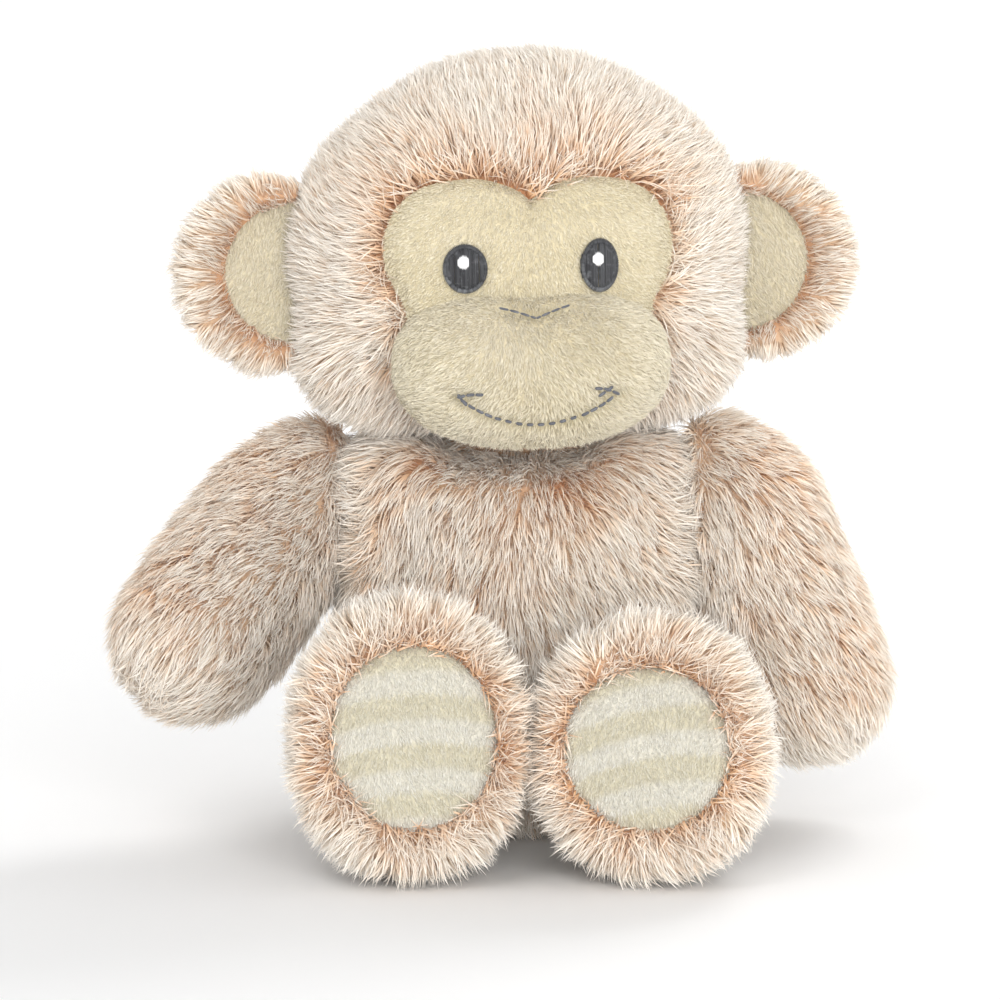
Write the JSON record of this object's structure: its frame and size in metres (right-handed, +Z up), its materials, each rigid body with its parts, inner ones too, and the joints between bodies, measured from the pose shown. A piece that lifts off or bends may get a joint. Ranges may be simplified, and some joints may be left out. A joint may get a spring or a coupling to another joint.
{
  "type": "stuffed monkey",
  "caption": "Seated soft plush monkey with long frosted fur, a large round head, cream face and muzzle, round ears, stubby arms and legs with cream soles, and a small tail.",
  "frame": {"origin": "middle of the flat seat panel, where the toy rests on the floor", "axes": "+Z up, the monkey faces -Y, its left side is on +X"},
  "size_m": [0.1859, 0.1656, 0.1865],
  "materials": {
    "fur": "long frosted plush pile, tan at the roots and off-white at the tips",
    "cream_plush": "short brushed cream plush",
    "sole_plush": "short cream plush with soft paler stripes",
    "dark_thread": "satin-stitched embroidery",
    "white_thread": "satin-stitched embroidery",
    "grey_thread": "running stitch in grey thread",
    "stuffing": "white polyester fibre wadding",
    "bean_cloth": "thin woven cloth bag filled with plastic beans",
    "label_tape": "blank woven tape"
  },
  "bodies": {
    "torso": {"torso_front": "fur", "torso_back_right": "fur", "torso_back_left": "fur", "seat_panel": "fur", "torso_stuffing": "stuffing", "seat_beans": "bean_cloth", "care_label": "label_tape"},
    "neck": {"neck_stuffing": "stuffing"},
    "head": {"head_side_right": "fur", "head_side_left": "fur", "head_crown": "fur", "head_chin": "fur", "face_panel": "cream_plush", "muzzle_panel": "cream_plush", "eye_right": "dark_thread", "eye_left": "dark_thread", "eye_glint_right": "white_thread", "eye_glint_left": "white_thread", "nose_stitches": "grey_thread", "mouth_stitches": "grey_thread", "head_stuffing": "stuffing"},
    "tail": {"tail_fur": "fur", "tail_stuffing": "stuffing"},
    "ear_right": {"ear_fur_right": "fur", "ear_lining_right": "cream_plush"},
    "arm_right": {"arm_outer_right": "fur", "arm_inner_right": "fur", "arm_stuffing_right": "stuffing"},
    "leg_right": {"leg_fur_right": "fur", "foot_fur_right": "fur", "sole_pad_right": "sole_plush", "leg_stuffing_right": "stuffing", "foot_beans_right": "bean_cloth"},
    "ear_left": {"ear_fur_left": "fur", "ear_lining_left": "cream_plush"},
    "arm_left": {"arm_outer_left": "fur", "arm_inner_left": "fur", "arm_stuffing_left": "stuffing"},
    "leg_left": {"leg_fur_left": "fur", "foot_fur_left": "fur", "sole_pad_left": "sole_plush", "leg_stuffing_left": "stuffing", "foot_beans_left": "bean_cloth"}
  },
  "joints": [
    {"name": "neck_turn", "type": "hinge", "parent": "torso", "child": "neck", "pos_m": [0, 0, 0.094], "axis": [0, 0, 1], "range_deg": [-40, 32], "stiffness_Nm_per_rad": 0.25},
    {"name": "neck_nod", "type": "hinge", "parent": "neck", "child": "head", "pos_m": [0, 0, 0.094], "axis": [1, 0, 0], "range_deg": [-15, 6], "stiffness_Nm_per_rad": 1.2},
    {"name": "ear_right_fold", "type": "hinge", "parent": "head", "child": "ear_right", "pos_m": [-0.05997, -0.00772, 0.13263], "axis": [-0.0226, -0.0018, 0.9997], "range_deg": [-35, 50], "stiffness_Nm_per_rad": 0.02},
    {"name": "ear_left_fold", "type": "hinge", "parent": "head", "child": "ear_left", "pos_m": [0.06022, 0.00174, 0.13537], "axis": [0.0226, 0.0018, -0.9997], "range_deg": [-35, 50], "stiffness_Nm_per_rad": 0.02},
    {"name": "arm_right_swing", "type": "hinge", "parent": "torso", "child": "arm_right", "pos_m": [-0.0546, 0.002, 0.0745], "axis": [-1, 0, 0], "range_deg": [-75, 20], "stiffness_Nm_per_rad": 0.12},
    {"name": "arm_left_swing", "type": "hinge", "parent": "torso", "child": "arm_left", "pos_m": [0.0546, 0.002, 0.0745], "axis": [-1, 0, 0], "range_deg": [-39, 56], "stiffness_Nm_per_rad": 0.12},
    {"name": "leg_right_lift", "type": "hinge", "parent": "torso", "child": "leg_right", "pos_m": [-0.0249, -0.039, 0.0326], "axis": [-1, 0, 0], "range_deg": [0, 15], "stiffness_Nm_per_rad": 0.2},
    {"name": "leg_left_lift", "type": "hinge", "parent": "torso", "child": "leg_left", "pos_m": [0.0309, -0.039, 0.0303], "axis": [-1, 0, 0], "range_deg": [0, 15], "stiffness_Nm_per_rad": 0.2},
    {"name": "tail_lift", "type": "hinge", "parent": "torso", "child": "tail", "pos_m": [0, 0.041, 0.02], "axis": [1, 0, 0], "range_deg": [-10, 14], "stiffness_Nm_per_rad": 0.03}
  ]
}
